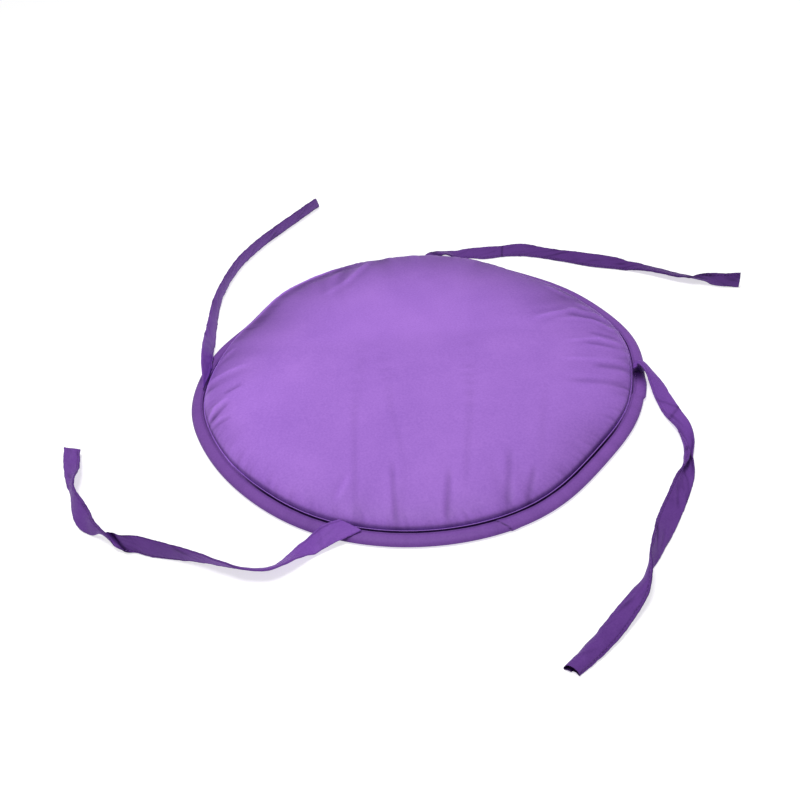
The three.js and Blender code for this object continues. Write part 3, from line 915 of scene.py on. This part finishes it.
class Route:
    """A smooth way through the poses of a tie."""

    divisions = 400
    floor_gap = 0.4
    strips = 4

    def __init__(self, poses: tuple[Pose, ...], width: float, thickness: float) -> None:
        """Measures the way once, so that places can be found by length."""
        self.poses = poses
        self.width = width
        self.thickness = thickness
        self.lengths = [0.0]
        before = self.pose(0.0)
        for step in range(1, self.divisions + 1):
            now = self.pose(step / self.divisions)
            self.lengths.append(self.lengths[-1] + math.hypot(now.x - before.x, now.y - before.y))
            before = now
        self.length = self.lengths[-1]

    def pose(self, share: float) -> Pose:
        """Gives the pose at a share of the rows, on a smooth curve through them."""
        rows = self.poses
        index = min(int(share * (len(rows) - 1)), len(rows) - 2)
        weight = share * (len(rows) - 1) - index
        values = []
        for column in range(len(rows[0])):
            start, end = rows[index][column], rows[index + 1][column]
            before = rows[index - 1][column] if index > 0 else 2.0 * start - end
            after = rows[index + 2][column] if index + 2 < len(rows) else 2.0 * end - start
            pull, push = 0.5 * (end - before), 0.5 * (after - start)
            cubic = 2.0 * start - 2.0 * end + pull + push
            square = 3.0 * end - 3.0 * start - 2.0 * pull - push
            values.append(start + weight * (pull + weight * (square + weight * cubic)))
        found = Pose(*values)
        return found._replace(lift=max(0.0, found.lift))

    def share_at(self, travelled: float) -> float:
        """Gives the share of the rows at a share of the length."""
        target = travelled * self.length
        low, high = 0, self.divisions
        while high - low > 1:
            middle = (low + high) // 2
            low, high = (middle, high) if self.lengths[middle] <= target else (low, middle)
        span = self.lengths[high] - self.lengths[low]
        return (low + (target - self.lengths[low]) / span) / self.divisions

    def section(self, across: float, through: float, pose: Pose) -> Pair:
        """Gives a point of the tie's section, sideways and upwards from its middle."""
        bent = math.radians(pose.curl) if abs(pose.curl) > 0.5 else 0.01
        radius = self.width / bent
        bend = across / radius
        sideways = (radius + through) * math.sin(bend)
        upwards = (radius + through) * math.cos(bend) - radius
        turn = math.radians(pose.lean)
        return (
            sideways * math.cos(turn) - upwards * math.sin(turn),
            sideways * math.sin(turn) + upwards * math.cos(turn),
        )

    def middle(self, share: float) -> Vector:
        """Gives the place of the tie's middle line."""
        now = self.pose(share)
        depths = [
            self.section((strip / self.strips - 0.5) * self.width, face * self.thickness, now)[1]
            for strip in range(self.strips + 1)
            for face in (-0.5, 0.5)
        ]
        depth = min(depths) * math.cos(math.radians(now.skew))
        return Vector((now.x, now.y, self.floor_gap + now.lift - depth))


class Fold(NamedTuple):
    """A sharp fold across a tie.

    The columns are its distance from the root at the middle of the width, how far it runs
    ahead for each mm across, its width, and its painted shade, a painted highlight under 0.
    """

    at: float
    slope: float
    width: float
    shade: float


BACK_FOLDS = (Fold(6, 0.3, 4, 0.35), Fold(77, 0.15, 1, 0.3))
RIGHT_FOLDS = (Fold(50, 0.7, 1.6, 0.22), Fold(62, -0.9, 1.6, 0.3), Fold(112, 0.6, 2.2, 0.25))
FRONT_FOLDS = (Fold(185, 0.2, 3, 0.5), Fold(193, 0, 1.3, -0.3), Fold(24, 0.4, 1.2, 0.1))

# The noise of a ribbon: its soft and its fine crumples, the tucks along its stitching, its
# pressed streaks and where they are strongest, and the wander of its cut and folded edges.
SOFT_CRUMPLES = Ripples(0.42, 1 / 9, 1 / 16, 0)
FINE_CRUMPLES = Ripples(0.2, 1 / 4.2, 1 / 7, 4)
STITCH_TUCKS = Ripples(0.26, 1 / 2.6, 0, 8)
STREAKS = Ripples(1, 1 / 26, 1 / 3.4, 12)
STREAKED = Ripples(1.2, 1 / 24, 0, 16)
EDGE_WANDER = (Ripples(0.04, 1 / 5, 1, 2), Ripples(0.028, 1 / 1.7, 1, 6))


class TieFrame(NamedTuple):
    """A tie's middle, the directions ahead, left and up, and the pose at one place."""

    middle: Vector
    ahead: Vector
    left: Vector
    up: Vector
    pose: Pose


@dataclass
class Tie:
    """A ribbon: a strip folded lengthwise and stitched shut near one edge, cut off at the end.

    Its shades are its painted shade at its root, its middle and its end, darker where it lies out
    of the light.
    The mouth is how far its end gapes, and it is pulled smooth at the distance taut_at from its
    root.
    """

    side: str
    poses: tuple[Pose, ...]
    seed: float
    shades: tuple[float, float, float]
    folds: tuple[Fold, ...] = ()
    mouth: float = 0.0
    taut_at: float = -100.0
    taut_spread: float = 16.0
    width: float = 16.0
    thickness: float = 1.5
    stitch_across: float = -6.1
    mouth_length: float = 26.0
    wall: float = 0.35
    lowest: float = 0.15
    look: float = 0.002
    steps: int = 300
    route: Route = field(init=False)

    def __post_init__(self) -> None:
        """Lays out the way of the tie."""
        self.route = Route(self.poses, self.width, self.thickness)

    def loop(self) -> list[Pair]:
        """Gives the section's points as a distance from the middle and a face, 1 on top."""
        half = self.width / 2.0
        shares = [-1.0, -0.97, -0.92, -0.85, -0.8, -0.762, -0.72, -0.66, -0.55, -0.42, -0.28, -0.14]
        shares += [0.0, 0.14, 0.28, 0.42, 0.55, 0.67, 0.77, 0.85, 0.91, 0.96, 0.99, 1.0]
        top = [(half * share, 1.0) for share in shares]
        return top + [(across, -1.0) for across, _ in reversed(top[1:-1])]

    def half_thickness(self, across: float) -> float:
        """Gives half the ribbon's thickness, least along the stitching and at its edges."""
        share = across / (self.width / 2.0)
        round_edge = math.sqrt(max(0.0, 1.0 - max(0.0, (abs(share) - 0.9) / 0.1) ** 2))
        pinch = 0.55 * hump(across - self.stitch_across, 0.45)
        return self.thickness / 2.0 * round_edge * (1.0 - pinch)

    def crumple(self, along: float, across: float) -> float:
        """Gives how far a soft crease moves the ribbon out of its face."""
        soft = SOFT_CRUMPLES.at(along + 0.8 * across, across, self.seed)
        fine = FINE_CRUMPLES.at(along - 0.5 * across, across, self.seed)
        tuck = STITCH_TUCKS.at(along, 0.0, self.seed) * hump(across - self.stitch_across, 2.2)
        loose = 1.0 - 0.85 * hump(along - self.taut_at, self.taut_spread)
        return loose * (soft + fine + tuck - 0.7 * self.pressed(along, across))

    def pressed(self, along: float, across: float) -> float:
        """Gives the slanting pressed streaks, stronger on some stretches than on others."""
        streak = STREAKS.at(along + 1.6 * across, across - 0.4 * along, self.seed)
        return max(0.0, streak) * eased(0.6 + STREAKED.at(along, 0.0, self.seed))

    def shade(self, along: float, across: float) -> float:
        """Gives the ribbon's painted shade at a place: along its length, in its streaks and
        crumples, along its stitching and edges, and in its folds.
        """
        start, middle, end = self.shades
        share = 2.0 * along / self.route.length
        tone = mixed(start, middle, eased(share)) + (end - middle) * eased(share - 1.0)
        tone += 0.3 * self.pressed(along, across)
        tone += 0.1 * max(0.0, -self.crumple(along, across))
        tone += 0.22 * hump(across - self.stitch_across, 0.5)
        tone += 0.2 * hump(abs(across) - self.width / 2.0, 0.5)
        for fold in self.folds:
            tone += fold.shade * hump(along - fold.at - fold.slope * across, fold.width)
        return tone

    def opening(self, travelled: float, across: float) -> float:
        """Gives how far the upper layer lifts off the lower one at an open end."""
        left_over = (1.0 - travelled) * self.route.length
        share = across / (self.width / 2.0)
        return self.mouth * eased(1.0 - left_over / self.mouth_length) * (1.0 - share * share)

    def rows(self) -> list[Pair]:
        """Gives the rows along the ribbon: share of the length and depth under its skin."""
        skin = [(step / self.steps, 0.0) for step in range(self.steps + 1)]
        if not self.mouth:
            return [(0.0, self.thickness), *skin, (1.0, self.thickness)]
        inside = [(1.0 - back / self.route.length, self.wall) for back in (0.0, 4.0, 9.0, 15.0)]
        return [(0.0, self.thickness), *skin, *inside, (inside[-1][0], self.thickness)]

    def frame(self, travelled: float) -> TieFrame:
        """Gives how the ribbon runs and lies at a share of the length."""
        share = self.route.share_at(travelled)
        start = self.route.middle(max(0.0, share - self.look))
        ahead = (self.route.middle(min(1.0, share + self.look)) - start).normalized()
        left = Vector((-ahead.y, ahead.x, 0.0)).normalized()
        middle, pose = self.route.middle(share), self.route.pose(share)
        return TieFrame(middle, ahead, left, ahead.cross(left), pose)

    def place(self, frame: TieFrame, travelled: float, across: float, through: float) -> Vector:
        """Gives a place in the ribbon.

        Args:
            frame: How the ribbon runs and lies there.
            travelled: Share of the length.
            across: Distance from the middle of its width.
            through: Distance from the middle of its thickness.

        Returns:
            The place in metres.
        """
        along = travelled * self.route.length
        wander = sum(ripples.at(along, across, self.seed) for ripples in EDGE_WANDER)
        loose = 1.0 - hump(along - self.taut_at, self.taut_spread)
        raised = through + self.crumple(along, across)
        pose = frame.pose
        sideways, upwards = self.route.section(across * (1.0 + loose * wander), raised, pose)
        skew = math.radians(pose.skew)
        level = Vector((frame.ahead.x, frame.ahead.y, 0.0)).normalized()
        point = frame.middle + (frame.left * sideways + frame.up * upwards) * math.cos(skew)
        point += frame.ahead * across * pose.slant / self.width + level * across * math.sin(skew)
        point.z = max(point.z, self.lowest)
        return point * MM

    def build(self) -> Piece:
        """Makes the tie."""
        loop = self.loop()
        rows = self.rows()
        frames = [self.frame(travelled) for travelled, _ in rows]

        def place(row: int, column: int) -> Vector:
            """Gives the place of a point of the ribbon."""
            travelled, under = rows[row]
            across, face = loop[column % len(loop)]
            through = face * max(0.0, self.half_thickness(across) - under)
            if face > 0 and under < self.thickness:
                through += self.opening(travelled, across)
            return self.place(frames[row], travelled, across * (1.0 - 0.1 * under), through)

        def lie(row: int, column: int) -> Pair:
            """Gives the point's place on the flat ribbon."""
            across, face = loop[column % len(loop)]
            return rows[row][0] * self.route.length * MM, (across + face * self.width) * MM

        def shade(row: int, column: int) -> float:
            """Gives the painted shade of a point of the ribbon, deep inside its open end."""
            travelled, under = rows[row]
            inside = 0.9 if 0.0 < under and travelled > 0.5 else 0.0
            return inside + self.shade(travelled * self.route.length, loop[column % len(loop)][0])

        return woven_grid(f"ribbon_{self.side}", (len(rows) - 1, len(loop)), place, lie, shade)

    def stitch_places(self, pitch: float) -> list[StitchPlace]:
        """Gives the place of each stitch along the ribbon, on both faces."""
        half = self.half_thickness(self.stitch_across)
        places = []
        for stitch in range(1, int(self.route.length / pitch)):
            here = stitch * pitch / self.route.length
            frame = self.frame(here)
            next_frame = self.frame(min(1.0, here + 0.25 * pitch / self.route.length))
            inner = self.place(frame, here, self.stitch_across, 0.0)
            for through in (half, -half):
                middle = self.place(frame, here, self.stitch_across, through)
                ahead = self.place(next_frame, here, self.stitch_across, through) - middle
                places.append((middle, ahead.normalized(), (middle - inner).normalized()))
        return places


@dataclass
class Stitches:
    """Short stitches of thread along a sewn line."""

    name: str
    cloth_slot: str
    length: float = 2.1
    girth: float = 0.34
    sides: int = 6
    rounds: int = 5

    def build(self, places: list[StitchPlace], finish: Material) -> None:
        """Makes the stitches and gives them their place in the frame.

        Args:
            places: Middle, direction and upper side of each stitch.
            finish: Material of the thread.
        """
        half, girth = self.length / 2.0, self.girth / 2.0
        size = Matrix.Diagonal((half, girth, girth, 1.0 / MM)) * MM
        sides = {"u_segments": self.sides, "v_segments": self.rounds}
        stitch = bpy.data.meshes.new("stitch")
        bm = bmesh.new()
        bmesh.ops.create_uvsphere(bm, **sides, radius=1.0, matrix=size)
        for face in bm.faces:
            face.smooth = True
        bm.to_mesh(stitch)
        bm.clear()
        for middle, ahead, up in places:
            aside = up.cross(ahead).normalized()
            turned = Matrix((ahead, aside, ahead.cross(aside))).transposed().to_4x4()
            placed = stitch.copy()
            placed.transform(Matrix.Translation(middle) @ turned)
            bm.from_mesh(placed)
            bpy.data.meshes.remove(placed)
        mesh = bpy.data.meshes.new(self.name)
        bm.to_mesh(mesh)
        bm.free()
        bpy.data.meshes.remove(stitch)
        mesh.materials.append(finish)
        piece = linked(self.name, mesh)
        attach(piece, "root")


@dataclass
class Stage:
    """The pale floor, the soft light and the camera, in metres but for the lens and sensor."""

    target: Tone = (-0.0168, -0.0223, 0.0)
    distance: float = 0.842
    elevation: float = 40.0
    roll: float = -4.8
    lens: float = 45.0
    sensor: float = 36.0
    floor_half: float = 3.0
    floor_tone: float = 0.62
    floor_glow: float = 0.62
    sky: float = 0.34
    lamp_place: Tone = (-0.22, -0.2, 1.7)
    lamp_size: float = 0.7
    lamp_power: float = 20.0

    def camera(self) -> None:
        """Sets up the camera."""
        data = bpy.data.cameras.new("camera")
        data.lens = self.lens
        data.sensor_width = self.sensor
        camera = linked("camera", data)
        raised = math.radians(self.elevation)
        away = Vector((0.0, -math.cos(raised), math.sin(raised))) * self.distance
        tilt = Matrix.Rotation(math.pi / 2.0 - raised, 4, "X")
        turn = tilt @ Matrix.Rotation(math.radians(self.roll), 4, "Z")
        camera.matrix_world = Matrix.Translation(Vector(self.target) + away) @ turn
        bpy.context.scene.camera = camera

    def light(self) -> None:
        """Adds the soft light, which looks at the middle of the cushion."""
        data = bpy.data.lights.new("key", "AREA")
        data.shape = "DISK"
        data.size = self.lamp_size
        data.energy = self.lamp_power
        lamp = linked("key", data)
        lamp.location = self.lamp_place
        lamp.rotation_euler = Vector(self.lamp_place).to_track_quat("Z", "Y").to_euler()

    def floor(self) -> None:
        """Lays the floor."""
        mesh = bpy.data.meshes.new("floor")
        bm = bmesh.new()
        bmesh.ops.create_grid(bm, x_segments=1, y_segments=1, size=self.floor_half)
        bm.to_mesh(mesh)
        bm.free()
        paper = bpy.data.materials.new("white paper")
        paper.use_nodes = True
        looks = {
            "Base Color": (*[self.floor_tone] * 3, 1.0),
            "Roughness": 0.9,
            "Specular IOR Level": 0.1,
            "Emission Color": (1.0, 1.0, 1.0, 1.0),
            "Emission Strength": self.floor_glow,
        }
        set_inputs(paper.node_tree.nodes["Principled BSDF"], looks)
        mesh.materials.append(paper)
        linked("floor", mesh)

    def build(self) -> None:
        """Sets the whole stage."""
        scene = bpy.context.scene
        scene.view_settings.view_transform = "Standard"
        world = bpy.data.worlds.new("studio")
        world.use_nodes = True
        sky = {"Color": (1.0, 1.0, 1.0, 1.0), "Strength": self.sky}
        set_inputs(world.node_tree.nodes["Background"], sky)
        scene.world = world
        self.camera()
        self.floor()
        self.light()


def main() -> None:
    """Builds the scene in order."""
    logging.basicConfig(level=logging.INFO, format="%(name)s: %(message)s")
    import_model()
    Stage().build()
    rim = Rim()
    pad = Pad(rim).build()
    dress(pad, PANEL_FINISH.build(), "pad")
    LOG.info("pad: %d faces", len(pad.data.polygons))
    binding = Binding(rim)
    strip = binding.build()
    dress(strip, BINDING_FINISH.build(), "binding")
    LOG.info("binding: %d faces", len(strip.data.polygons))
    thread = THREAD_FINISH.build()
    Stitches("binding_stitches", "binding_cloth").build(binding.stitch_places(3.2), thread)
    tie_cloth = TIE_FINISH.build()
    # After each tie's seed come its painted shades at its root, its middle and its end.
    ties = (
        Tie("left", ROUTE_LEFT, 11.0, (0.0, 0.36, 0.52)),
        Tie("back", ROUTE_BACK, 23.0, (0.45, 0.62, 0.66), BACK_FOLDS),
        Tie("right", ROUTE_RIGHT, 37.0, (0.08, 0.46, 0.5), RIGHT_FOLDS, mouth=4.0),
        Tie("front", ROUTE_FRONT, 51.0, (0.02, 0.54, 0.32), FRONT_FOLDS, taut_at=192.0),
    )
    for tie in ties:
        ribbon = tie.build()
        dress(ribbon, tie_cloth, f"tie_{tie.side}")
        Stitches(f"{ribbon.name}_stitches", "tie_cloth").build(tie.stitch_places(3.0), thread)
        faces = len(ribbon.data.polygons)
        LOG.info("%s: %d faces, %.0f mm long", ribbon.name, faces, tie.route.length)


if __name__ == "__main__":
    main()
